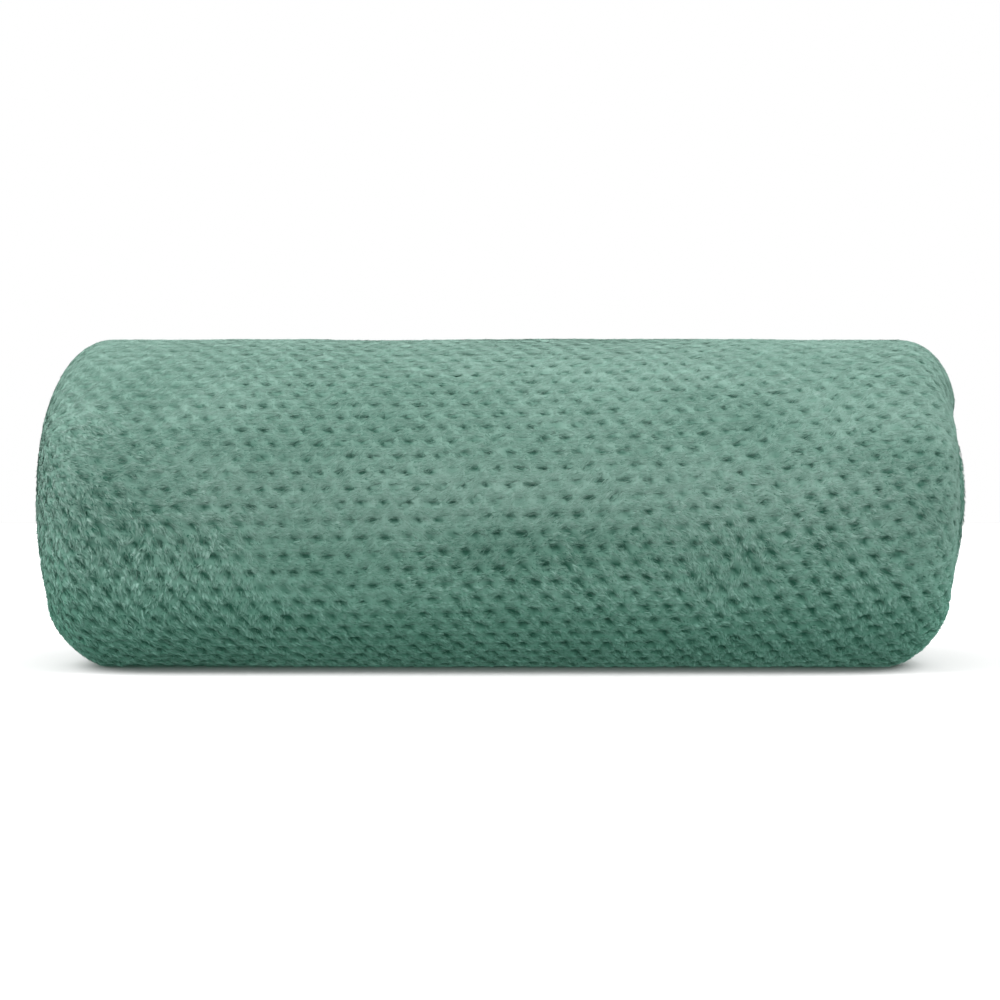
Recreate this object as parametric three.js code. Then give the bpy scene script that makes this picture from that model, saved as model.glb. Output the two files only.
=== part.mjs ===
// A plush flannel blanket, folded lengthwise into a four-layer strip and rolled up, lying on a surface.
// Millimetres, +Z up. The roll runs along X, its front faces -Y and its loose edge lies low on the back.
// The origin is on the surface, under the middle of the roll.
import * as THREE from "three";
import { ParametricGeometry } from "three/addons/geometries/ParametricGeometry.js";
import { mergeGeometries, mergeVertices } from "three/addons/utils/BufferGeometryUtils.js";

// The roll
const rollLength = 480;
const rollHeight = 174;
const rollDepth = 236;
const widestShare = 0.445; // of the height: the roll sags, so it is widest below its middle
const upperFullness = 1.85; // exponent of the outline above the widest line, where 2 is an ellipse
const lowerFullness = 2.6;
const baseWidth = 136; // of the flat spot, across the roll

// The winding, in shares of the section: 1 is the outline and 0 the eye of the roll
const turnPitch = 0.135; // one turn of the folded strip, about 14 mm
const looseEdgeStep = 0.085; // the loose edge is pressed thinner than the rest of the strip
const looseEdgeAngle = -22; // degrees, up from the level line towards the back
const looseEdgeTurn = 0.018; // the turn that the rounded loose edge takes up
const drawInFrom = 0.6; // of a turn from the loose edge, where the cloth starts to come in under it
const innerTurns = 4; // that show inside the tuck

// The ends: the outer turn curls over each end and tucks in, and the turns inside it show as a spiral
const endRound = 36; // how far along X the curl reaches
const endFlat = 0.22; // the share where the curl begins
const endFullness = 2.3; // exponent of the curl, where 2 is a quarter of an ellipse
const endLean = 0.05; // how much further the ends reach out for each step up
const endLevel = 90; // the height where they reach half the roll's length
const baseDrawIn = 10; // how far the ends are drawn in at the surface
const baseDrawInHeight = 40;
const curlCrest = 0.69;
const tuckShare = 0.6;
const grooveDepth = 8;
const eyeRecess = 4;

// How finely the solid is cut
const columnsPerTurn = 56;
const columnsPerLooseEdge = 5;
const rowsPerCurl = 8;
const rowsPerTuck = 3;
const rowsPerTurn = 6;
const rowsPerBarrel = 3;
const rowsPerEye = 2;

const widestHeight = rollHeight * widestShare;
const upperReach = rollHeight - widestHeight;
// The lower outline is drawn on past the surface, so that the surface cuts it as wide as the flat spot.
const baseShare = (baseWidth / rollDepth) ** lowerFullness;
const lowerReach = widestHeight / (1 - baseShare) ** (1 / lowerFullness);

const plushFlannel = new THREE.MeshStandardMaterial({ color: 0x739b8c, roughness: 0.95, metalness: 0 });

// How far a share of the section lies from the eye, at an angle up from the level line towards the back.
// The inner turns are rounder than the outline.
function reachOf(share, angle) {
  const up = Math.sin(angle) >= 0;
  const fullness = THREE.MathUtils.lerp(2, up ? upperFullness : lowerFullness, share);
  const across = Math.abs(Math.cos(angle)) / (rollDepth / 2);
  const along = Math.abs(Math.sin(angle)) / (up ? upperReach : lowerReach);
  return share * (across ** fullness + along ** fullness) ** (-1 / fullness);
}

// How the roll's length changes with height: it leans out towards the top and is drawn in at the surface.
function spreadAt(height) {
  const low = Math.max(0, 1 - height / baseDrawInHeight);
  return 1 + (endLean * (height - endLevel) - baseDrawIn * low * low) / (rollLength / 2);
}

// A point of the roll at x, turns of the winding on from the loose edge, at a share of the section.
function placeAt(target, x, turn, share) {
  const angle = THREE.MathUtils.degToRad(looseEdgeAngle + 360 * turn);
  const reach = reachOf(share, angle);
  const height = Math.max(0, widestHeight + reach * Math.sin(angle));
  return target.set(x * spreadAt(height), reach * Math.cos(angle), height);
}

// How far the outer turn lies inside the outline: it starts with the rounded loose edge, and comes in
// under that edge at its end.
function outerDrop(turn) {
  const left = Math.max(0, 1 - turn / looseEdgeTurn);
  const edge = 1 - Math.sqrt(1 - left * left);
  return looseEdgeStep * (edge + THREE.MathUtils.smoothstep(turn, drawInFrom, 1));
}

// The line between two turns at the roll's end, counted from the tuck inwards. The last one is the eye's rim.
function boundary(line, turn) {
  if (line === 0) return tuckShare - outerDrop(turn);
  const turns = Math.min(line - 1 + turn, innerTurns - 1);
  return tuckShare - looseEdgeStep - turnPitch * turns;
}

// How far from the middle the rounded end reaches, at a share of the section, and the grooves in it.
function endReach(share) {
  const curl = THREE.MathUtils.clamp((share - endFlat) / (1 - endFlat), 0, 1);
  const recess = eyeRecess * (1 - THREE.MathUtils.smoothstep(share, 0, endFlat));
  const drawn = 1 - (1 - curl ** endFullness) ** (1 / endFullness);
  return rollLength / 2 - endRound * drawn - recess;
}

function grooveReach(share) {
  return endReach(share) - grooveDepth;
}

// The columns of every patch: close together round the loose edge, then even to the end of the turn.
const columns = [];
for (let i = 0; i < columnsPerLooseEdge; i++) {
  columns.push(looseEdgeTurn * (1 - Math.cos((Math.PI / 2) * (i / columnsPerLooseEdge))));
}
for (let i = 0; i <= columnsPerTurn; i++) {
  columns.push(THREE.MathUtils.lerp(looseEdgeTurn, 1, i / columnsPerTurn));
}

// A patch with one column per step of the turn. The patches of the end at -X run round the other way,
// so that their faces point out as well.
function patch(rows, side, pointAt) {
  const steps = columns.length - 1;
  const shape = (u, v, target) => {
    const step = Math.round(u * steps);
    pointAt(target, columns[side > 0 ? step : steps - step], Math.round(v * rows));
  };
  return new ParametricGeometry(shape, steps, rows);
}

// The straight part of the outer turn, between the two curls.
function barrel() {
  const half = rollLength / 2 - endRound;
  return patch(rowsPerBarrel, 1, (target, turn, row) => {
    placeAt(target, THREE.MathUtils.lerp(-half, half, row / rowsPerBarrel), turn, 1 - outerDrop(turn));
  });
}

// The outer turn's curl over one end, down into the first groove.
function endCurl(side) {
  const crestAngle = Math.asin((curlCrest - endFlat) / (1 - endFlat));
  return patch(rowsPerCurl + rowsPerTuck, side, (target, turn, row) => {
    const drop = outerDrop(turn);
    if (row <= rowsPerCurl) {
      const angle = THREE.MathUtils.lerp(Math.PI / 2, crestAngle, row / rowsPerCurl);
      const share = endFlat + (1 - endFlat) * Math.sin(angle);
      placeAt(target, side * endReach(share), turn, share - drop);
    } else {
      const angle = (Math.PI / 2) * ((row - rowsPerCurl) / rowsPerTuck);
      const share = THREE.MathUtils.lerp(curlCrest, tuckShare, Math.sin(angle));
      const x = THREE.MathUtils.lerp(grooveReach(tuckShare - drop), endReach(curlCrest), Math.cos(angle));
      placeAt(target, side * x, turn, share - drop);
    }
  });
}

// One inner turn at one end: the rounded fold between two grooves. It starts or ends where its width is nothing.
function innerTurn(side, line) {
  return patch(rowsPerTurn, side, (target, turn, row) => {
    const outer = boundary(line, turn);
    const inner = boundary(line + 1, turn);
    const across = (1 - Math.cos(Math.PI * (row / rowsPerTurn))) / 2;
    const width = THREE.MathUtils.clamp((outer - inner) / turnPitch, 0, 1);
    const height = grooveDepth * Math.sin(Math.PI * (row / rowsPerTurn)) * Math.sqrt(width);
    const share = THREE.MathUtils.lerp(outer, inner, across);
    placeAt(target, side * (grooveReach(share) + height), turn, share);
  });
}

// The core that the winding starts on.
function eye(side) {
  const rim = boundary(innerTurns, 0);
  return patch(rowsPerEye, side, (target, turn, row) => {
    const inwards = row / rowsPerEye;
    const share = rim * (1 - inwards);
    const height = grooveDepth * Math.sin((Math.PI / 2) * inwards);
    placeAt(target, side * (grooveReach(share) + height), turn, share);
  });
}

// The patches joined at their shared edges, without the faces that have shrunk to a line.
function closed(patches) {
  for (const one of patches) {
    one.deleteAttribute("normal");
    one.deleteAttribute("uv");
  }
  const joined = mergeVertices(mergeGeometries(patches), 1e-3);
  const corners = joined.index.array;
  const kept = [];
  for (let i = 0; i < corners.length; i += 3) {
    const [a, b, c] = corners.subarray(i, i + 3);
    if (a !== b && b !== c && c !== a) kept.push(a, b, c);
  }
  joined.setIndex(kept);
  joined.computeVertexNormals();
  return joined;
}

function blanketRoll() {
  const patches = [barrel()];
  for (const side of [-1, 1]) {
    patches.push(endCurl(side), eye(side));
    for (let line = 0; line < innerTurns; line++) {
      patches.push(innerTurn(side, line));
    }
  }
  const mesh = new THREE.Mesh(closed(patches), plushFlannel);
  mesh.name = "blanket_roll";
  return mesh;
}

const blanket = new THREE.Group();
blanket.add(blanketRoll());

export default blanket;
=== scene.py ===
import math

import bmesh
import bpy
import numpy as np
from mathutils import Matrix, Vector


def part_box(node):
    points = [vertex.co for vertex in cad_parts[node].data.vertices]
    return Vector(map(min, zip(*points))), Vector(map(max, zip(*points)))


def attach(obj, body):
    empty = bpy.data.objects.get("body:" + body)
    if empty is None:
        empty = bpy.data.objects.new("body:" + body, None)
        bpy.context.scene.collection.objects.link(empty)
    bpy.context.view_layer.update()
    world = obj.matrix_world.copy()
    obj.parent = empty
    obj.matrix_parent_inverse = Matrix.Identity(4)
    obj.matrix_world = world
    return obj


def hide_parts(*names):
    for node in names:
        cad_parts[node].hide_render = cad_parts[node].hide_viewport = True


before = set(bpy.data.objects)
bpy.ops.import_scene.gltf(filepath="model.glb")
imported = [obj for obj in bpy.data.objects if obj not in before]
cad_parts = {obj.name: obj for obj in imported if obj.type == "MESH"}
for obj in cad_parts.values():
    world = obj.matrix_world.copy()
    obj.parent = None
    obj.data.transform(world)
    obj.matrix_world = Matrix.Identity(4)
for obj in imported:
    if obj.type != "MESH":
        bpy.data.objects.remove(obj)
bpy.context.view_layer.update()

# A plush flannel blanket, folded in four and rolled up. Metres, +Z up, the roll along X and its front
# towards -Y. The cloth is laid out flat first, in u across the strip and v along it, and then wound onto
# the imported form.

rollLow, rollHigh = (np.array(corner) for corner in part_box("blanket_roll"))
rollSize = rollHigh - rollLow
millimetre = 0.001

winding = {
    "widestShare": 0.445,  # of the height
    "upperFullness": 1.85,  # 2 is an ellipse
    "lowerFullness": 2.6,
    "baseWidth": 136 * millimetre,
    "turnPitch": 0.135,  # one turn of the strip, as a share of the section
    "looseEdgeStep": 0.085,
    "looseEdgeAngle": math.radians(-22),
    "looseEdgeTurn": 0.012,
    "drawInFrom": 0.6,
    "endRound": 36 * millimetre,
    "endFlat": 0.22,
    "endFullness": 2.3,
    "endLean": 0.05,  # the ends reach further out towards the top
    "endLevel": 90 * millimetre,
    "baseDrawIn": 10 * millimetre,
    "baseDrawInHeight": 40 * millimetre,
    "curlCrest": 0.69,
    "tuckShare": 0.6,
    "grooveDepth": 8 * millimetre,
    "eyeShare": 0.1,
    "fullerFrom": (0.17, 0.215),  # along the roll, from where its soft ends start to swell to where they have
    "topRightFuller": 7.5 * millimetre,
    "topRightLevels": (0.68, 1.06),  # the same up the section, as sines of the angle
    "bottomFuller": 4.5 * millimetre,
    "bottomLevels": (0.45, 0.8),  # and down it
}

plushFace = {
    "cutsAcross": 240,
    "cutsAlong": 300,
    "runsUnder": 16 * millimetre,  # past the loose edge
    "pileRunsUnder": 9 * millimetre,
    "drawnUnder": 12 * millimetre,  # how far its ends come in there
    "drawnUnderTurns": (0.995, 1.025),  # from where to where
    "inset": 1.7 * millimetre,  # room for the pile
    "columnPitch": 11.2 * millimetre,
    "rowPitch": 8.2 * millimetre,
    "climb": 0.022,  # how steeply the rows rise to the right, and what the last third adds
    "rightClimb": 0.10,
    "rightFrom": 0.09,
    "pillow": 1.2 * millimetre,
    "spotDepth": 1.5 * millimetre,
    "spotHalfWidth": 3.1 * millimetre,
    "spotHalfHeight": 1.15 * millimetre,
    # how much stronger the dimples are where the pile is so
    "spotStrength": {"smooth": 0.68, "calm": 0.75, "ruffled": 0.5, "hanging": 1.3, "low": 1.4},
    "creaseHalfWidth": 1.3 * millimetre,
    "creases": ((-1, 0.7, 8), (1, 0.2, 9)),  # down to the right or to the left, how strong, and the seed
    "lump": 0.6 * millimetre,
}


def smoothStep(x, low, high):
    t = np.clip((x - low) / (high - low), 0, 1)
    return t * t * (3 - 2 * t)


def mix(a, b, t):
    return a + (b - a) * t


def unit(ways):
    return ways / np.maximum(np.linalg.norm(ways, axis=-1, keepdims=True), 1e-12)


# Soft random values from -1 to 1 over the flat cloth, one every `grain` metres
def softNoise(u, v, grain, seed):
    table = np.random.default_rng(seed).uniform(-1, 1, (64, 64))
    x, y = u / grain, v / grain
    i, j = np.floor(x).astype(int), np.floor(y).astype(int)
    fx, fy = smoothStep(x - i, 0, 1), smoothStep(y - j, 0, 1)
    low = mix(table[i % 64, j % 64], table[(i + 1) % 64, j % 64], fx)
    high = mix(table[i % 64, (j + 1) % 64], table[(i + 1) % 64, (j + 1) % 64], fx)
    return mix(low, high, fy)


# The oval section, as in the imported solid

widest = rollSize[2] * winding["widestShare"]
upperReach = rollSize[2] - widest
baseShare = (winding["baseWidth"] / rollSize[1]) ** winding["lowerFullness"]
lowerReach = widest / (1 - baseShare) ** (1 / winding["lowerFullness"])


def reachOf(share, angle):
    up = np.sin(angle) >= 0
    fullness = mix(2, np.where(up, winding["upperFullness"], winding["lowerFullness"]), share)
    across = np.abs(np.cos(angle)) / (rollSize[1] / 2)
    along = np.abs(np.sin(angle)) / np.where(up, upperReach, lowerReach)
    return share * (across ** fullness + along ** fullness) ** (-1 / fullness)


# How the length changes with height
def spreadAt(height):
    low = np.maximum(0, 1 - height / winding["baseDrawInHeight"])
    lean = winding["endLean"] * (height - winding["endLevel"])
    return 1 + (lean - winding["baseDrawIn"] * low * low) / (rollSize[0] / 2)


def rollPoint(x, turn, share):
    angle = winding["looseEdgeAngle"] + 2 * np.pi * turn
    reach = reachOf(share, angle)
    height = np.maximum(0, widest + reach * np.sin(angle))
    x, reach = np.broadcast_arrays(x * spreadAt(height), reach)
    return np.stack([x, reach * np.cos(angle), height], axis=-1)


# The outer face's share of the section, from the loose edge inwards
def windShare(turn):
    first = 1 - winding["looseEdgeStep"] * smoothStep(turn, winding["drawInFrom"], 1)
    return np.where(turn < 1, first, 1 - winding["looseEdgeStep"] - winding["turnPitch"] * (turn - 1))


def endReach(share):
    curl = np.clip((share - winding["endFlat"]) / (1 - winding["endFlat"]), 0, 1)
    drawn = 1 - (1 - curl ** winding["endFullness"]) ** (1 / winding["endFullness"])
    return rollSize[0] / 2 - winding["endRound"] * drawn


# Lengths along the wound cloth: v to turns, and u to places on the curl

turnTable = np.linspace(winding["looseEdgeTurn"], 1.1, 3000)
turnLine = rollPoint(0.0, turnTable, windShare(turnTable))
lengthTable = np.concatenate([[0], np.cumsum(np.linalg.norm(np.diff(turnLine, axis=0), axis=1))])
outerLength = float(np.interp(1, turnTable, lengthTable))
pileLength = outerLength + plushFace["pileRunsUnder"]


def curlLine():
    crest = math.asin((winding["curlCrest"] - winding["endFlat"]) / (1 - winding["endFlat"]))
    lean = np.linspace(math.pi / 2, crest, 60)
    share = winding["endFlat"] + (1 - winding["endFlat"]) * np.sin(lean)
    x = endReach(share)
    dip = np.linspace(0, math.pi / 2, 20)[1:]
    tuckShares = mix(winding["curlCrest"], winding["tuckShare"], np.sin(dip))
    groove = float(endReach(winding["tuckShare"])) - winding["grooveDepth"]
    tuckX = mix(groove, x[-1], np.cos(dip))
    share, x = np.append(share, tuckShares), np.append(x, tuckX)
    meanReach = (rollSize[1] / 2 + upperReach + widest) / 3
    steps = np.hypot(np.diff(x), np.diff(share) * meanReach)
    return np.concatenate([[0], np.cumsum(steps)]), x, share


curlLengths, curlX, curlShare = curlLine()
straightHalf = rollSize[0] / 2 - winding["endRound"]
halfWidth = straightHalf + curlLengths[-1]


# How far the soft ends reach past the solid's: at the top right, and low on both sides
def endUneven(x, angle):
    top = winding["topRightFuller"] * smoothStep(np.sin(angle), *winding["topRightLevels"])
    bottom = winding["bottomFuller"] * smoothStep(-np.sin(angle), *winding["bottomLevels"])
    right, left = (smoothStep(side * x, *winding["fullerFrom"]) for side in (1, -1))
    return right * (top + bottom) - left * bottom


def outerPlace(u, v):
    turn = np.interp(v, lengthTable, turnTable)
    past = np.abs(u) - straightHalf
    x = np.sign(u) * np.where(past > 0, np.interp(past, curlLengths, curlX), np.abs(u))
    share = np.where(past > 0, np.interp(past, curlLengths, curlShare), 1)
    under = smoothStep(turn, *plushFace["drawnUnderTurns"]) * smoothStep(past, -0.01, 0.01)
    x = x - np.sign(u) * plushFace["drawnUnder"] * under
    x = x + endUneven(x, winding["looseEdgeAngle"] + 2 * np.pi * turn)
    return rollPoint(x, turn, share - 1 + windShare(turn))


def heightAngle(v):
    return winding["looseEdgeAngle"] + 2 * np.pi * np.interp(v, lengthTable, turnTable)


# Unit vectors along a surface and outwards from it
def directionsOn(placeOn, a, b, stepA, stepB):
    alongA = placeOn(a + stepA, b) - placeOn(a - stepA, b)
    alongB = placeOn(a, b + stepB) - placeOn(a, b - stepB)
    return unit(alongA), unit(alongB), unit(np.cross(alongB, alongA))


def raisedOver(placeOn, a, b, height, stepA, stepB):
    outwards = directionsOn(placeOn, a, b, stepA, stepB)[2]
    moved = placeOn(a, b) + outwards * height[..., None]
    moved[..., 2] = np.maximum(moved[..., 2], 0.3 * millimetre)
    return moved


def overOuter(u, v, height):
    return raisedOver(outerPlace, u, v, height, 0.6 * millimetre, 0.6 * millimetre)


# The emboss

# Where a point lies among the dimples, counted in columns and rows
def latticePlace(u, v):
    climb = plushFace["climb"] * u + plushFace["rightClimb"] * np.maximum(0, u - plushFace["rightFrom"])
    wanderU = 0.9 * millimetre * softNoise(u, v, 0.016, 1) + 1.6 * millimetre * softNoise(u, v, 0.07, 2)
    wanderV = 0.7 * millimetre * softNoise(u, v, 0.014, 3) + 1.5 * millimetre * softNoise(u, v, 0.08, 4)
    across = (u + wanderU) / plushFace["columnPitch"]
    row = (v + climb + wanderV) / plushFace["rowPitch"]
    return across, row


# How deep a point lies in one of the dimples, small diamonds of which no two are alike
def spotAt(u, v, across, row, smooth):
    nearRow = np.round(row)
    shift = (nearRow % 2) / 2
    nearColumn = np.round(across - shift)
    chance = np.random.default_rng(21).uniform(0, 1, (4, 97, 89))
    pick = chance[:, nearColumn.astype(int) % 97, nearRow.astype(int) % 89]
    ruffled = ruffledAt(u)
    du = (across - shift - nearColumn) * plushFace["columnPitch"]
    du = du + (pick[2] - 0.5) * mix(1.4, 4.5, ruffled) * millimetre
    dv = (row - nearRow) * plushFace["rowPitch"] + (pick[0] - 0.5) * 3 * millimetre * ruffled
    dv = dv + (mix(-0.2, 0.18, smooth) + 0.8 * (pick[3] - 0.5)) * du
    width = plushFace["spotHalfWidth"] * mix(0.75, 1.25, pick[0])
    width = width * mix(1, 0.75, ruffled) * mix(1, 1.1, smooth)
    height = plushFace["spotHalfHeight"] * mix(0.75, 1.3, pick[1]) * mix(1, 0.72, smooth)
    aside = np.abs(du) / width + np.abs(dv) / height
    strength = np.clip(1.1 + 0.3 * softNoise(u, v, 0.03, 5), 0.75, 1.3)
    shares = {"smooth": smooth, "calm": calmAt(v), "ruffled": ruffled, "hanging": hangAt(v), "low": deepAt(v)}
    for name, share in shares.items():
        strength = strength * mix(1, plushFace["spotStrength"][name], share)
    return strength * (1 - smoothStep(aside, 0.1, mix(1.45, 1.6, smooth)))


# How deep it lies in one of the slanting creases that join the dimples where the pile hangs in locks
def creaseAt(u, v, across, row, smooth):
    creases = 0
    for way, usual, seed in plushFace["creases"]:
        fall = across + way * row / 2
        aside = np.abs(fall - np.round(fall)) * plushFace["columnPitch"]
        crease = 1 - smoothStep(aside, 0.2 * plushFace["creaseHalfWidth"], plushFace["creaseHalfWidth"])
        strength = usual + 0.25 * deepAt(v) + 0.4 * softNoise(u, v, 0.013, seed)
        creases = np.maximum(creases, crease * strength)
    return creases * (0.55 + 0.45 * np.cos(2 * np.pi * (row - 0.2))) * (1 - smooth)


# How proud the pillows stand, and how deep a point lies in a dimple or crease, each from 0 to 1
def embossAt(u, v, smooth):
    across, row = latticePlace(u, v)
    waves = sum(np.cos(2 * np.pi * phase) for phase in (across + row / 2, across - row / 2, row))
    deepest = np.maximum(spotAt(u, v, across, row, smooth), creaseAt(u, v, across, row, smooth))
    return (3 - waves) / 4.5, np.minimum(deepest, 1)


# 1 at the left end, where handling has ruffled the pile
def ruffledAt(u):
    return smoothStep(-u, 0.11, 0.19)


# 1 where the pile hangs down and 0 where it lies on top; this also sets how strong the painted shade tint of
# the roll's lower side is
def hangAt(v):
    return smoothStep(-np.sin(heightAngle(v)), -0.2, 0.7)


# 1 low down, just above where the roll rests
def deepAt(v):
    return smoothStep(-np.sin(heightAngle(v)), 0.42, 0.68)


# 1 over the top of the roll, where the pile lies flattest
def calmAt(v):
    return smoothStep(np.sin(heightAngle(v)), 0.35, 0.9)


# How hard the roll's own weight presses the cloth flat, from 0 to 1
def pressedAt(u, v):
    return smoothStep(-np.sin(heightAngle(v)), 0.78, 0.95) * (1 - smoothStep(np.abs(u), 0.2, 0.25))


# The ground's height over the wound form, with the pillow and spot that it comes from
def reliefAt(u, v, smooth):
    pillow, spot = embossAt(u, v, smooth)
    height = plushFace["pillow"] * pillow * mix(1, 0.6, smooth) - plushFace["spotDepth"] * spot
    height -= plushFace["inset"] * mix(1, 0.6, calmAt(v))
    height += plushFace["lump"] * (softNoise(u, v, 0.06, 6) + 0.4 * softNoise(u, v, 0.02, 7))
    return mix(height, -0.5 * millimetre, pressedAt(u, v)), pillow, spot


def setVertices(mesh, places):
    mesh.vertices.foreach_set("co", np.ascontiguousarray(places, dtype=np.float32).ravel())
    mesh.update()


def vertexPlaces(mesh):
    places = np.empty(len(mesh.vertices) * 3, dtype=np.float32)
    mesh.vertices.foreach_get("co", places)
    return places.reshape(-1, 3).astype(float)


def addPiece(name, mesh, material):
    piece = bpy.data.objects.new(name, mesh)
    bpy.context.scene.collection.objects.link(piece)
    mesh.materials.append(material)
    mesh.shade_smooth()
    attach(piece, "root")
    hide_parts("blanket_roll")
    return piece


# A flat grid over the ranges, with u and v as its UV map in metres
def flatGrid(name, across, along, uRange, vRange):
    bm = bmesh.new()
    bmesh.ops.create_grid(bm, x_segments=across, y_segments=along, size=0.5, calc_uvs=True)
    mesh = bpy.data.meshes.new(name)
    bm.to_mesh(mesh)
    bm.free()
    across, along = (vertexPlaces(mesh)[:, :2] + 0.5).T
    u, v = mix(*uRange, across), mix(*vRange, along)
    writeFlatMap(mesh, u, v)
    return mesh, u, v


def writeFlatMap(mesh, u, v):
    corners = np.empty(len(mesh.loops), dtype=np.int32)
    mesh.loops.foreach_get("vertex_index", corners)
    while mesh.uv_layers:
        mesh.uv_layers.remove(mesh.uv_layers[0])
    layer = mesh.uv_layers.new(name="flatCloth")
    places = np.stack([u[corners], v[corners]], axis=1)
    layer.uv.foreach_set("vector", places.astype(np.float32).ravel())


def writeShade(mesh, name, values):
    layer = mesh.attributes.new(name, "FLOAT", "POINT")
    layer.data.foreach_set("value", values.astype(np.float32))


# Materials

def linearColour(hexCode):
    channels = [int(hexCode[i : i + 2], 16) / 255 for i in (1, 3, 5)]
    return tuple(c / 12.92 if c <= 0.04045 else ((c + 0.055) / 1.055) ** 2.4 for c in channels) + (1,)


# The socket of that name that is in use: some nodes have one of the name for each kind of value
def openSocket(sockets, name):
    return next(socket for socket in sockets if socket.name == name and socket.enabled)


def addNode(material, kind, settings=None, links=None):
    tree = material.node_tree
    node = tree.nodes.new(kind)
    for name, value in (settings or {}).items():
        if hasattr(node, name):
            setattr(node, name, value)
        else:
            openSocket(node.inputs, name).default_value = value
    for name, source in (links or {}).items():
        tree.links.new(source, openSocket(node.inputs, name))
    return node


def newMaterial(name):
    material = bpy.data.materials.new(name)
    material.use_nodes = True
    material.node_tree.nodes.clear()
    return material


def rampOf(material, source, stops):
    node = addNode(material, "ShaderNodeValToRGB", links={"Fac": source})
    ramp = node.color_ramp
    ramp.elements[0].position, ramp.elements[0].color = stops[0][0], linearColour(stops[0][1])
    ramp.elements[1].position, ramp.elements[1].color = stops[-1][0], linearColour(stops[-1][1])
    for place, colour in stops[1:-1]:
        ramp.elements.new(place).color = linearColour(colour)
    return node.outputs["Color"]


flannelLook = {
    # the dye's shades for the ramp: the root's colour also stands for the deepest painted shade
    "root": "#335e4f",
    "body": "#6e9184",
    "tip": "#95b3a8",
    "brightest": "#aec8bf",
    "hanging": "#d3fff3",  # painted shade: what the pile's colours are multiplied by where it hangs, deeper and greener on the roll's shaded lower side
    "roughness": 0.95,
    "specular": 0.08,
    "sheen": 0.12,
    "sheenRoughness": 0.5,
    "sheenTint": "#86c2ac",
    "fibresPerMetre": 1400.0,
    "fibreStretch": 0.35,
    "fibreDepth": 0.6 * millimetre,
}


# The cloth's colour from a ramp of the dye's shades, driven by a paleness that carries painted shade: dark at
# the pile's roots, at the sides of locks and in the dimples, pale at its brushed tips. Where the pile hangs,
# low on the roll, the colours are multiplied by a painted shade tint that makes the shaded lower side deeper
# and greener.
def dyedAndShadedColour(material):
    paleness = addNode(material, "ShaderNodeAttribute", {"attribute_name": "paleness"}).outputs["Fac"]
    lowSideShade = addNode(material, "ShaderNodeAttribute", {"attribute_name": "lowSideShade"}).outputs["Fac"]
    look = flannelLook
    stops = [(0.0, look["root"]), (0.4, look["body"]), (0.8, look["tip"]), (1.0, look["brightest"])]
    base = rampOf(material, paleness, stops)
    settings = {"data_type": "RGBA", "blend_type": "MULTIPLY", "B": linearColour(look["hanging"])}
    tinted = addNode(material, "ShaderNodeMix", settings, {"Factor": lowSideShade, "A": base})
    return tinted.outputs[2]  # the colour result


def finishMatt(material, colour, links=None):
    look = flannelLook
    settings = {
        "Roughness": look["roughness"],
        "Specular IOR Level": look["specular"],
        "Sheen Weight": look["sheen"],
        "Sheen Roughness": look["sheenRoughness"],
        "Sheen Tint": linearColour(look["sheenTint"]),
    }
    shader = addNode(material, "ShaderNodeBsdfPrincipled", settings, {"Base Color": colour, **(links or {})})
    addNode(material, "ShaderNodeOutputMaterial", links={"Surface": shader.outputs["BSDF"]})
    return material


# Polyester plush flannel, matt and soft
def plushPileMaterial():
    material = newMaterial("polyesterPlushPile")
    return finishMatt(material, dyedAndShadedColour(material))


# The knitted ground under the pile, pressed hard in the dimples
def plushGroundMaterial():
    material = newMaterial("polyesterPlushGround")
    flat = addNode(material, "ShaderNodeUVMap", {"uv_map": "flatCloth"}).outputs["UV"]
    stretch = {"Scale": (1.0, flannelLook["fibreStretch"], 1.0)}
    streaks = addNode(material, "ShaderNodeMapping", stretch, {"Vector": flat}).outputs["Vector"]
    grain = {"Scale": flannelLook["fibresPerMetre"], "Detail": 3.0, "Roughness": 0.6}
    fibres = addNode(material, "ShaderNodeTexNoise", grain, {"Vector": streaks}).outputs["Fac"]
    depth = {"Strength": 0.6, "Distance": flannelLook["fibreDepth"]}
    bump = addNode(material, "ShaderNodeBump", depth, {"Height": fibres}).outputs["Normal"]
    return finishMatt(material, dyedAndShadedColour(material), {"Normal": bump})


pileMaterial = plushPileMaterial()
groundMaterial = plushGroundMaterial()
print("materials ready")


# The whole panel, folded in four and wound: its edges are turned to the middle, and it is folded in half

panel = {
    "flat": (2.0, 2.2),
    "rowsPerTurn": 72,
    "columnsPerLayer": 4,
    "columnsPerFold": 9,
    "outerLayer": 0.45,  # a layer's place in the strip, in shares of its thickness
    "innerLayer": 0.05,
    "hiddenUnderCurl": 10 * millimetre,
    "hiddenUnderFace": 0.4,  # of the strip's thickness, in the outer turn
    "uneven": 1.8 * millimetre,  # how far the folds stand in or out at the ends
}


def foldedColumns():
    straight, fold = panel["columnsPerLayer"], panel["columnsPerFold"]
    outer, inner = panel["outerLayer"], panel["innerLayer"]
    lean = np.linspace(0, np.pi, fold + 2)
    run = np.linspace(-1, 1, straight + 2)
    parts = [
        (-run, np.full(run.shape, inner), 0 * run),
        (-np.ones(fold + 2), 0.25 - (outer - inner) / 2 * np.cos(lean), -np.sin(lean)),
        (run, np.full(run.shape, outer), 0 * run),
        (np.ones(fold + 2), outer * np.cos(lean), np.sin(lean)),
        (-run, np.full(run.shape, -outer), 0 * run),
        (-np.ones(fold + 2), -0.25 - (outer - inner) / 2 * np.cos(lean), -np.sin(lean)),
        (run, np.full(run.shape, -inner), 0 * run),
    ]
    columns = np.concatenate([np.stack(part, axis=1) for part in parts])
    fresh = np.append(True, np.any(np.abs(np.diff(columns, axis=0)) > 1e-6, axis=1))
    return columns[fresh]


lastTurn = 1 + (1 - winding["looseEdgeStep"] - winding["eyeShare"]) / winding["turnPitch"]


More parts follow.
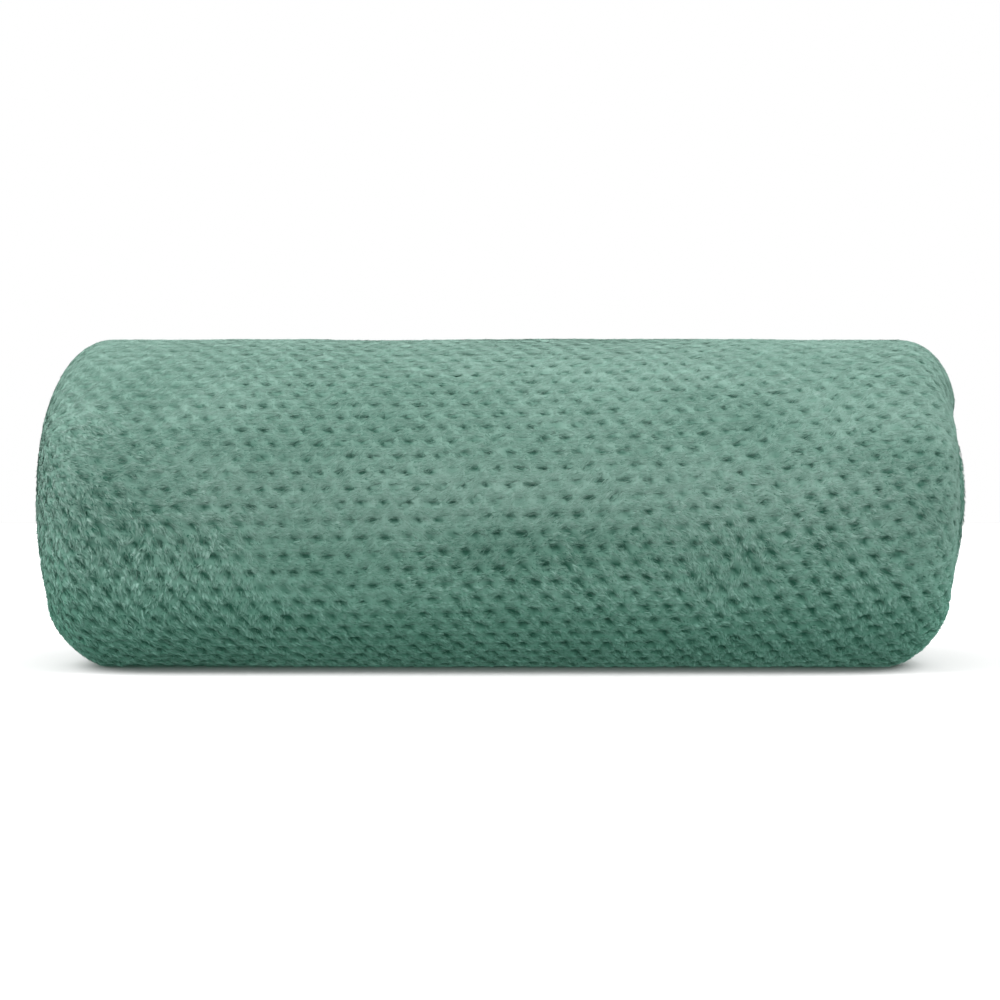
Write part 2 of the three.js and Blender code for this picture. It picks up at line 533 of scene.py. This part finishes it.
# A point of the wound strip: along is -1 to 1 between its folds, offset is in shares of its thickness
def stripPlace(along, offset, bulge, turn):
    outerTurn = 1 - smoothStep(turn, 0.98, 1.06)
    thickness = mix(winding["looseEdgeStep"], winding["turnPitch"], smoothStep(turn, 0.3, 1))
    middle = windShare(turn) - thickness / 2
    offset = mix(offset, offset * 0.4 - panel["hiddenUnderFace"] / 2, outerTurn)
    reach = endReach(np.maximum(middle, 0)) - winding["grooveDepth"]
    tuck = winding["tuckShare"]
    reach -= panel["hiddenUnderCurl"] * smoothStep(middle, tuck - 0.09, tuck - 0.03)
    reach += panel["uneven"] * softNoise(turn + 3.5 * (bulge + along > 0), 0 * turn, 0.13, 42)
    x = along * reach + bulge * winding["grooveDepth"]
    return rollPoint(x, turn, np.maximum(middle + offset * thickness, 0.02))


def windPanel():
    columns = foldedColumns()
    rows = round(lastTurn * panel["rowsPerTurn"])
    width, length = panel["flat"]
    mesh, u, v = flatGrid("flannel_panel", len(columns) - 1, rows, (0, width), (0, length))
    column = np.round(u / width * (len(columns) - 1)).astype(int)
    turn = mix(winding["looseEdgeTurn"], lastTurn, v / length)
    setVertices(mesh, stripPlace(*columns[column].T, turn))
    # an even paleness, and half of the painted shade tint of the lower side
    writeShade(mesh, "paleness", np.full(len(mesh.vertices), 0.4))
    writeShade(mesh, "lowSideShade", np.full(len(mesh.vertices), 0.5))
    return addPiece("flannel_panel", mesh, groundMaterial)


blanketPanel = windPanel()
print("panel wound:", len(blanketPanel.data.polygons), "faces")


# How the pile lies

# Painted light and shade: where the brushed pile is painted paler or darker, as it catches more or less
# light, with paler and darker
# bands across the roll: a place on the flat cloth, its half sizes and the change
paintedNapLightPatches = [
    (-0.05, 0.304, 0.075, 0.026, -0.10),
    (-0.18, 0.300, 0.030, 0.034, -0.09),
    (0.11, 0.312, 0.060, 0.024, -0.09),
    (0.0, 0.225, 0.300, 0.040, 0.10),
    (0.0, 0.330, 0.300, 0.018, -0.07),
    (0.06, 0.268, 0.060, 0.034, 0.05),
    (0.03, 0.387, 0.060, 0.018, -0.10),
    (0.0, 0.384, 0.300, 0.012, -0.06),
    (0.205, 0.345, 0.030, 0.034, -0.13),
    (-0.190, 0.358, 0.040, 0.030, -0.12),
    (-0.110, 0.345, 0.070, 0.040, -0.08),
    (0.0, 0.408, 0.300, 0.010, 0.05),
]


# Which way handling left the pile, as degrees on the flat cloth from +u towards +v
pileLies = {
    "hangingLeft": 80,
    "hangingMiddle": 24,
    "hangingRight": 42,
    "hangingLow": 32,
    "upright": 76,  # in one rubbed spot
    "uprightPlace": (0.11, 0.392),
    "uprightSize": 0.03,
    "overTop": -12,
    "overTopLeft": -28,
}


# 1 where the pile is combed smooth, 0 where it hangs in locks
def smoothAt(u, v):
    level = np.sin(heightAngle(v)) + 0.25 * softNoise(u, v, 0.05, 33) + 0.2 * softNoise(u, v, 0.016, 35)
    left = smoothStep(-u, 0.1, 0.2)
    middle = 1 - smoothStep(np.abs(u), 0.05, 0.12)
    return smoothStep(level - 0.35 * left + 0.2 * middle, -0.6, 0.35)


# Which way the pile lies at a point, as an angle on the flat cloth
def combAngle(u, v, smooth):
    lies = pileLies
    place = u + 0.03 * softNoise(u, v, 0.05, 36)
    hanging = mix(lies["hangingLeft"], lies["hangingMiddle"], smoothStep(place, -0.13, -0.05))
    rubbedU, rubbedV = lies["uprightPlace"]
    fromRubbed = np.hypot((u - rubbedU) / lies["uprightSize"], (v - rubbedV) / lies["uprightSize"])
    hanging = mix(hanging, lies["upright"], 1 - smoothStep(fromRubbed, 0.6, 1.2))
    hanging = mix(hanging, lies["hangingRight"], smoothStep(place, 0.13, 0.17))
    hanging = mix(hanging, lies["hangingLow"], smoothStep(v, 0.415, 0.44)) + 25 * softNoise(u, v, 0.03, 31)
    over = mix(lies["overTop"], lies["overTopLeft"], smoothStep(-u, 0.08, 0.18))
    over = over + 22 * softNoise(u, v, 0.04, 32)
    return np.radians(mix(hanging, over, smooth) + 27 * softNoise(u, v, 0.007, 34))


# How much paler the pile is painted: a little random tone, with the painted light and shade of the patches
def napToneAndPaintedLightAt(u, v):
    shade = 0.03 * softNoise(u, v, 0.045, 37) + 0.03 * softNoise(u, v, 0.013, 38)
    u = u + 12 * millimetre * softNoise(u, v, 0.04, 39)
    v = v + 6 * millimetre * softNoise(u, v, 0.05, 40)
    for placeU, placeV, halfU, halfV, paler in paintedNapLightPatches:
        near = np.hypot((u - placeU) / halfU, (v - placeV) / halfV)
        shade = shade + paler * (1 - smoothStep(near, 0.2, 1.3))
    return shade


# The plush face of the outer turn, with its dimples

def embossFace():
    mesh, u, v = flatGrid(
        "plush_face",
        plushFace["cutsAcross"],
        plushFace["cutsAlong"],
        (-halfWidth, halfWidth),
        (0, outerLength + plushFace["runsUnder"]),
    )
    smooth = smoothAt(u, v)
    height, pillow, spot = reliefAt(u, v, smooth)
    setVertices(mesh, overOuter(u, v, height))
    mesh.flip_normals()
    # painted shade on the ground: paler on the pillows, darker in the dimples, with the painted light and
    # shade of the nap; a little paler where the pile lies smooth
    ground = mix(0.38, 0.48, smooth) + 0.25 * (pillow - 0.5)
    writeShade(mesh, "paleness", np.clip(ground + napToneAndPaintedLightAt(u, v) - 0.7 * spot, 0, 1))
    writeShade(mesh, "lowSideShade", hangAt(v))
    return addPiece("plush_face", mesh, groundMaterial)


face = embossFace()
print("face embossed:", len(face.data.polygons), "faces")


# The pile, as fine flat hairs that share a direction in each lock

# Two kinds of pile: smooth is combed flat, as over the top, and locks hang, as low on the front
pile = {
    "pieces": 4,
    "locksAcross": 216,
    "locksAlong": 74,  # of each piece
    "hairsPerLock": 12,
    "endHairs": 84000,
    "length": {"smooth": 3.2 * millimetre, "locks": 2.7 * millimetre},
    "width": {"smooth": 0.55 * millimetre, "locks": 0.55 * millimetre},
    "lift": {"smooth": 0.4 * millimetre, "locks": 0.65 * millimetre},
    "spread": {"smooth": 1.2 * millimetre, "locks": 0.9 * millimetre},  # of a lock's roots
    "gather": {"smooth": 0.45, "locks": 0.6},  # how far its tips come together
    # the painted shade along each hair: its root darker than its tip
    "rootShade": {"smooth": 0.37, "locks": 0.33},
    "tipShade": {"smooth": 0.62, "locks": 0.94},
    "lockSideShade": {"smooth": 0.07, "locks": 0.22},  # painted shade: how much darker a lock is at its sides, where it meets the next
    "directionSpread": {"smooth": 10.0, "locks": 16.0},  # degrees, from lock to lock
    "shadeSpread": {"smooth": 0.07, "locks": 0.12},
    # what handling adds at the left end, the last two as shares; depth, root and tip change the painted shade
    # of the locks and hairs
    "ruffled": {"depth": 0.12, "gather": 0.2, "root": 0.18, "tip": -0.24, "length": 0.15, "width": 0.4},
    "strays": 0.03,  # the share of hairs that stand out
    "seed": 11,
}


# One hair, flat and pointed
def hairShape():
    bm = bmesh.new()
    bmesh.ops.create_circle(bm, cap_ends=True, segments=3, radius=2 / 3)
    bmesh.ops.scale(bm, verts=bm.verts, vec=(math.sqrt(3) / 2, 1, 1))
    bmesh.ops.translate(bm, verts=bm.verts, vec=(0, 1 / 3, 0))
    mesh = bpy.data.meshes.new("hair")
    bm.to_mesh(mesh)
    bm.free()
    return mesh


# Each copy's corners between its root and its tip, with how far along it each one is
def layHairs(shape, rootA, rootB, tipA, tipB, wide):
    corner = vertexPlaces(shape)
    forward, aside = np.clip(corner[None, :, 1], 0, 1), corner[None, :, 0]
    stepA, stepB = tipA - rootA, tipB - rootB
    length = np.maximum(np.hypot(stepA, stepB), 1e-6)
    hairA = rootA + forward * stepA - aside * wide * stepB / length
    hairB = rootB + forward * stepB + aside * wide * stepA / length
    return hairA, hairB, forward


# A value of the pile, between the smooth kind and the locks
def pileValue(name, smooth):
    return mix(pile[name]["locks"], pile[name]["smooth"], smooth)


# Where the locks of one piece stand, spread evenly over the flat cloth
def scatterLocks(random, piece):
    across, along = pile["locksAcross"], pile["locksAlong"]
    column, row = np.meshgrid(np.arange(across), np.arange(along))
    size = (column.size, 1)
    lockU = ((column.reshape(size) + random.uniform(0, 1, size)) / across * 2 - 1) * halfWidth
    share = (row.reshape(size) + random.uniform(0, 1, size) + piece / pile["pieces"]) / along % 1
    return lockU, 0.001 + share * (pileLength - 0.001)


# The roots and tips of every lock's hairs, which share a direction and come together at their tips
def drawHairs(random, lockU, lockV, smooth, ruffled):
    size, many = lockU.shape, (len(lockU), pile["hairsPerLock"])
    turned = np.radians(pileValue("directionSpread", smooth)) * random.normal(size=size)
    comb = combAngle(lockU, lockV, smooth) + turned
    spread = pileValue("spread", smooth)
    rootU = np.clip(lockU + spread * random.normal(size=many), -halfWidth, halfWidth)
    rootV = np.clip(lockV + spread * random.normal(size=many), 0.0005, pileLength)
    lean = comb + np.radians(5) * random.normal(size=many)
    gather = pileValue("gather", smooth) + pile["ruffled"]["gather"] * ruffled
    gather = gather * random.uniform(0.6, 1, many)
    long = pileValue("length", smooth) * (1 + pile["ruffled"]["length"] * ruffled)
    long = long * random.uniform(0.6, 1.25, many)
    tipU = mix(rootU, lockU, gather) + long * np.cos(lean)
    tipV = mix(rootV, lockV, gather) + long * np.sin(lean)
    return rootU, rootV, tipU, tipV


# Tips of hairs that stop where they would cross a dimple, and are short inside one
def stopAtDimples(random, rootU, rootV, tipU, tipV, rootSpot, smooth):
    edge = random.uniform(0.3, 0.9, rootU.shape)
    reach = np.ones(rootU.shape)
    for share in (1.0, 0.75, 0.5, 0.25):
        spotThere = embossAt(mix(rootU, tipU, share), mix(rootV, tipV, share), smooth)[1]
        reach = np.where(spotThere > edge, share, reach)
    reach = np.where(rootSpot > edge, 0.4, reach)
    return mix(rootU, tipU, reach), mix(rootV, tipV, reach)


# The painted shade of every hair at its root and tip, with random tone from lock to lock and hair to hair and
# the painted light
# and shade of the nap: roots darker than tips, and a lock palest in its middle and darker at its sides where
# the locks meet
def shadeHairs(random, rootU, rootV, fromMiddle, smooth, ruffled):
    added = pile["ruffled"]
    lockShade, hairShade = random.normal(size=smooth.shape), random.normal(size=rootU.shape)
    shade = mix(0.7, 0.9, ruffled) * lockShade + mix(0.6, 0.35, ruffled) * hairShade
    depth = pileValue("lockSideShade", smooth) + added["depth"] * ruffled
    shade = pileValue("shadeSpread", smooth) * shade + napToneAndPaintedLightAt(rootU, rootV) - depth * (2 * fromMiddle - 0.8)
    rootShade = pileValue("rootShade", smooth) + added["root"] * ruffled + shade
    return rootShade, pileValue("tipShade", smooth) + added["tip"] * ruffled + shade


def plantPile(piece, shape):
    random = np.random.default_rng(pile["seed"] + piece)
    lockU, lockV = scatterLocks(random, piece)
    smooth = smoothAt(lockU, lockV)
    ruffled = ruffledAt(lockU) * (1 - smooth)
    rootU, rootV, tipU, tipV = drawHairs(random, lockU, lockV, smooth, ruffled)
    many = rootU.shape
    rootHeight, _, rootSpot = reliefAt(rootU, rootV, smooth)
    tipU, tipV = stopAtDimples(random, rootU, rootV, tipU, tipV, rootSpot, smooth)

    # a lock stands highest in its middle, and lies flat in a dimple
    spread = pileValue("spread", smooth)
    offsetU, offsetV = (rootU - lockU) / spread, (rootV - lockV) / spread
    fromMiddle = np.minimum(np.hypot(offsetU, offsetV) / 2, 1)
    wide = pileValue("width", smooth) * (1 + pile["ruffled"]["width"] * ruffled)
    wide = wide * random.uniform(0.7, 1.3, many)
    lift = pileValue("lift", smooth) * random.uniform(0.5, 1.3, many)
    lift = lift * (1 - 0.6 * rootSpot) * (1 - 0.6 * fromMiddle)
    lift = np.where(random.uniform(0, 1, many) < pile["strays"], 2.5 * lift, lift)
    rootShade, tipShade = shadeHairs(random, rootU, rootV, fromMiddle, smooth, ruffled)

    # none where the roll's weight presses the cloth flat
    kept = (pressedAt(rootU, rootV) < 0.9).ravel()
    values = rootU, rootV, tipU, tipV, wide, lift, rootShade, tipShade, rootHeight, offsetU, offsetV, smooth
    values = (value.ravel()[kept, None] for value in np.broadcast_arrays(*values))
    rootU, rootV, tipU, tipV, wide, lift, rootShade, tipShade, rootHeight, offsetU, offsetV, smooth = values

    hairU, hairV, forward = layHairs(shape, rootU, rootV, tipU, tipV, wide)
    height, pillow, spot = reliefAt(hairU, hairV, smooth)
    height = height + mix(-0.1, 1.0, forward) * lift
    # painted shade: darker in and around the dimples, paler on the pillows
    paleness = mix(rootShade, tipShade, forward) + 0.14 * (smoothStep(pillow, 0.0, 0.7) - 0.7)
    paleness = paleness * (1 - 0.85 * spot)

    # a hair shades like the ground below it, rounded with its lock
    step = 0.7 * millimetre
    slopeU = (reliefAt(rootU + step, rootV, smooth)[0] - rootHeight) / step
    slopeV = (reliefAt(rootU, rootV + step, smooth)[0] - rootHeight) / step
    rounding = 0.3 * (1 - smooth)
    alongU, alongV, outwards = directionsOn(outerPlace, rootU, rootV, step, step)
    normal = outwards + (rounding * offsetU - slopeU)[..., None] * alongU
    normal = normal + (rounding * offsetV - slopeV)[..., None] * alongV
    normal = normal + 0.06 * random.normal(size=normal.shape)
    values = {"paleness": paleness, "lowSideShade": hangAt(hairV)}
    return joinCopies(f"pile_{piece + 1}", shape, overOuter(hairU, hairV, height), normal, values)


# The pile on the folds that show in the roll's ends: one fold a turn at +X, two at -X
def plantEndPile(shape):
    random = np.random.default_rng(pile["seed"] + 50)
    outer, inner = panel["outerLayer"], panel["innerLayer"]
    middle, half = (outer + inner) / 2, (outer - inner) / 2
    folds = np.array([(1, 0, outer), (-1, middle, half), (-1, -middle, half)])
    innerTable = np.linspace(1, lastTurn, 4000)
    line = stripPlace(1.0, 0.0, 0.0, innerTable)
    lengths = np.concatenate([[0], np.cumsum(np.linalg.norm(np.diff(line, axis=0), axis=1))])
    thickness = winding["turnPitch"] * rollSize[1] / 2
    count = pile["endHairs"]
    fold = np.repeat([0, 1, 2], [count // 2, count // 4, count // 4])
    side, centre, radius = folds[fold].T[:, :, None]
    rootA = random.uniform(0.02, 0.98, side.shape) * np.pi * radius * thickness
    rootB = random.uniform(0, lengths[-1], side.shape)
    lean = np.radians(35) * softNoise(rootA + 0.3 * side, rootB, 0.02, 41)
    lean = lean + np.radians(20) * random.normal(size=side.shape)
    long = pile["length"]["locks"] * random.uniform(0.7, 1.3, side.shape)
    tipA, tipB = rootA + long * np.sin(lean), rootB + long * np.cos(lean)
    wide = 1.3 * pile["width"]["locks"] * random.uniform(0.7, 1.3, side.shape)

    def onFold(a, b):
        angle = a / (radius * thickness)
        turn = np.interp(b, lengths, innerTable)
        along = side * np.ones_like(angle)
        return stripPlace(along, centre - radius * np.cos(angle), side * np.sin(angle), turn)

    hairA, hairB, forward = layHairs(shape, rootA, rootB, tipA, tipB, -wide * side)
    pillow, spot = embossAt(hairA + 0.1 * side, hairB, 1.0)
    lift = pile["lift"]["locks"] * random.uniform(0.5, 1.2, side.shape)
    height = -side * (0.4 * millimetre + forward * lift * (1 - 0.6 * spot) - 0.7 * millimetre * spot)
    shade = 0.5 * pile["shadeSpread"]["locks"] * random.normal(size=side.shape)
    # painted shade: roots darker than tips, darker in and around the dimples, and half of the lower side's
    # painted shade tint
    paleness = mix(0.38, 0.68, forward) + shade + 0.2 * (smoothStep(pillow, 0.0, 0.7) - 0.7)
    steps = 0.3 * millimetre, 0.6 * millimetre
    places = raisedOver(onFold, hairA, hairB, height, *steps)
    normal = -side[..., None] * directionsOn(onFold, rootA, rootB, *steps)[2]
    normal = normal + 0.1 * random.normal(size=normal.shape)
    values = {"paleness": paleness * (1 - 0.85 * spot), "lowSideShade": np.full(hairA.shape, 0.5)}
    return joinCopies("pile_ends", shape, places, normal, values)


# Many copies of one small shape as one mesh, with each copy's own corners and one normal for all of them
def joinCopies(name, shape, places, normals, values):
    count, corners = places.shape[:2]
    loops = np.empty(len(shape.loops), dtype=np.int32)
    shape.loops.foreach_get("vertex_index", loops)
    starts = np.empty(len(shape.polygons), dtype=np.int32)
    shape.polygons.foreach_get("loop_start", starts)
    copies = np.arange(count, dtype=np.int32)[:, None]
    mesh = bpy.data.meshes.new(name)
    mesh.vertices.add(count * corners)
    mesh.loops.add(count * len(loops))
    mesh.polygons.add(count * len(starts))
    mesh.loops.foreach_set("vertex_index", (loops[None, :] + copies * corners).ravel())
    mesh.polygons.foreach_set("loop_start", (starts[None, :] + copies * len(loops)).ravel())
    setVertices(mesh, places)
    for attribute, value in values.items():
        writeShade(mesh, attribute, value.ravel())
    piece = addPiece(name, mesh, pileMaterial)
    mesh.normals_split_custom_set_from_vertices(np.repeat(unit(normals).reshape(-1, 3), corners, axis=0))
    return piece


hair = hairShape()
pilePieces = [plantPile(piece, hair) for piece in range(pile["pieces"])] + [plantEndPile(hair)]
bpy.data.meshes.remove(hair)
print("pile planted:", [len(piece.data.polygons) for piece in pilePieces], "hairs")


# The stage: a white floor, soft light all round and a level camera in front

stage = {
    "floorColour": (0.5, 0.5, 0.5, 1),
    "floorSize": 6,
    "floorLight": 4.2,
    "floorLightSpread": math.radians(45),
    "floorLightTilt": math.radians(42),
    "lightAbove": 1.3,
    "lightBelow": 0.38,
    "cameraDistance": 0.98,  # from the foremost point of the roll
    "cameraPlace": 0.0005,
    "cameraHeight": 0.0862,
    "frontWidth": 0.488,  # metres across the view at the foremost point
    "sensor": 36,
}

softboxes = {
    "topLight": {"place": (0.0, -0.5, 1.7), "aim": (0, 0, 0.1), "size": (1.4, 1.0), "power": 8},
    "frontFill": {"place": (0.0, -2.2, 0.5), "aim": (0, 0, 0.08), "size": (2.0, 0.9), "power": 8},
    "leftFill": {"place": (-1.6, -0.35, 0.4), "aim": (-0.2, 0, 0.08), "size": (0.8, 0.8), "power": 10},
    "rightFill": {"place": (1.6, -0.35, 0.4), "aim": (0.2, 0, 0.08), "size": (0.8, 0.8), "power": 5},
}


# Matt paper
def plainWhite():
    material = newMaterial("mattWhitePaper")
    settings = {"Base Color": stage["floorColour"], "Roughness": 1.0, "Specular IOR Level": 0.0}
    shader = addNode(material, "ShaderNodeBsdfPrincipled", settings)
    addNode(material, "ShaderNodeOutputMaterial", links={"Surface": shader.outputs["BSDF"]})
    return material


def addFloor():
    bm = bmesh.new()
    bmesh.ops.create_grid(bm, x_segments=1, y_segments=1, size=stage["floorSize"])
    mesh = bpy.data.meshes.new("floor")
    bm.to_mesh(mesh)
    bm.free()
    mesh.materials.append(plainWhite())
    floor = bpy.data.objects.new("floor", mesh)
    bpy.context.scene.collection.objects.link(floor)
    floor.visible_diffuse = False  # the low light comes from the world instead
    return floor


def addSoftbox(name, place, aim, size, power):
    light = bpy.data.lights.new(name, "AREA")
    light.shape, light.size, light.size_y, light.energy = "RECTANGLE", size[0], size[1], power
    lamp = bpy.data.objects.new(name, light)
    lamp.location = place
    direction = np.array(aim) - np.array(place)
    lamp.rotation_euler = (
        math.pi / 2 + math.atan2(direction[2], math.hypot(direction[0], direction[1])),
        0,
        math.atan2(direction[1], direction[0]) - math.pi / 2,
    )
    bpy.context.scene.collection.objects.link(lamp)


# Even light from both sides that falls on the floor alone, so that it is white right up to the roll
def addFloorLight(floor):
    floorOnly = bpy.data.collections.new("floorOnly")
    floorOnly.objects.link(floor)
    for name, side in (("floorLightLeft", -1), ("floorLightRight", 1)):
        light = bpy.data.lights.new(name, "SUN")
        light.energy, light.angle = stage["floorLight"], stage["floorLightSpread"]
        lamp = bpy.data.objects.new(name, light)
        lamp.rotation_euler = (0, side * stage["floorLightTilt"], 0)
        bpy.context.scene.collection.objects.link(lamp)
        lamp.light_linking.receiver_collection = floorOnly


def addCamera():
    data = bpy.data.cameras.new("camera")
    data.sensor_width = stage["sensor"]
    data.lens = stage["sensor"] * stage["cameraDistance"] / stage["frontWidth"]
    camera = bpy.data.objects.new("camera", data)
    camera.location = (stage["cameraPlace"], rollLow[1] - stage["cameraDistance"], stage["cameraHeight"])
    camera.rotation_euler = (math.pi / 2, 0, 0)
    bpy.context.scene.collection.objects.link(camera)
    bpy.context.scene.camera = camera


# Soft light all round that fades from above to below, before a white backdrop
def addWorld():
    world = bpy.data.worlds.new("studio")
    world.use_nodes = True
    world.node_tree.nodes.clear()
    direction = addNode(world, "ShaderNodeTexCoord").outputs["Generated"]
    height = addNode(world, "ShaderNodeSeparateXYZ", links={"Vector": direction}).outputs["Z"]
    fade = {"From Min": -0.6, "From Max": 0.9, "To Min": stage["lightBelow"], "To Max": stage["lightAbove"]}
    light = addNode(world, "ShaderNodeMapRange", fade, {"Value": height}).outputs["Result"]
    seen = addNode(world, "ShaderNodeLightPath").outputs["Is Camera Ray"]
    strength = addNode(world, "ShaderNodeMix", {"B": 1.0}, {"Factor": seen, "A": light}).outputs["Result"]
    shader = addNode(world, "ShaderNodeBackground", {"Color": (1, 1, 1, 1)}, {"Strength": strength})
    addNode(world, "ShaderNodeOutputWorld", links={"Surface": shader.outputs["Background"]})
    bpy.context.scene.world = world


addFloorLight(addFloor())
addWorld()
for name, softbox in softboxes.items():
    addSoftbox(name, **softbox)
addCamera()
bpy.context.scene.view_settings.view_transform = "Standard"
print("stage ready")
